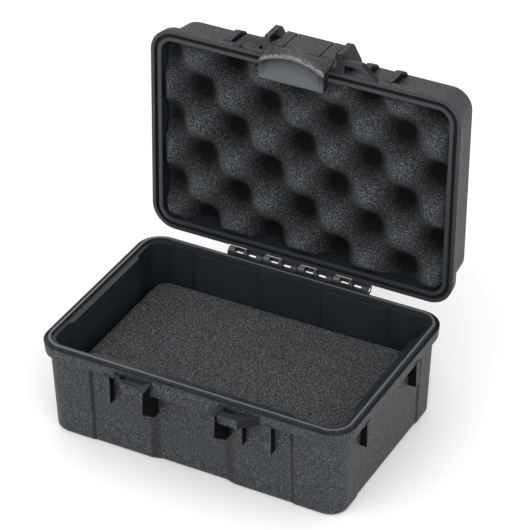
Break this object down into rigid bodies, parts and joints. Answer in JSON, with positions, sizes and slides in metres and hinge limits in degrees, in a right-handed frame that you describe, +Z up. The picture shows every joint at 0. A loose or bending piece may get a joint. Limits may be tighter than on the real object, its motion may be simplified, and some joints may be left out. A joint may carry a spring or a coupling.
{
  "type": "carry_case",
  "caption": "Small hard plastic carry case for miniatures with a pin-hinged lid, one front latch, a sealed rim, egg-crate foam in the lid and a foam pad in the tray",
  "frame": {"origin": "middle of the flat underside the tray rests on", "axes": "+X along the case, -Y is the latch side and +Y the hinge side, +Z up out of the tray"},
  "size_m": [0.23, 0.2115, 0.2438],
  "materials": {
    "black_shell": "textured",
    "black_latch": "textured",
    "pin_steel": "brushed",
    "seal_rubber": "smooth",
    "lid_foam_grey": "open cell",
    "base_foam_grey": "open cell"
  },
  "bodies": {
    "base": {"base_shell": "black_shell", "base_foam": "base_foam_grey", "hinge_pin": "pin_steel"},
    "lid": {"lid_shell": "black_shell", "lid_seal": "seal_rubber", "lid_foam": "lid_foam_grey", "latch_pin": "pin_steel"},
    "latch": {"latch_lever": "black_latch"}
  },
  "joints": [
    {"name": "lid_hinge", "type": "hinge", "parent": "base", "child": "lid", "pos_m": [0, 0.082, 0.0704], "axis": [1, 0, 0], "range_deg": [0, 91.65]},
    {"name": "latch_hinge", "type": "hinge", "parent": "lid", "child": "latch", "pos_m": [0, 0.10151, 0.23549], "axis": [-1, 0, 0], "range_deg": [0, 100]}
  ]
}
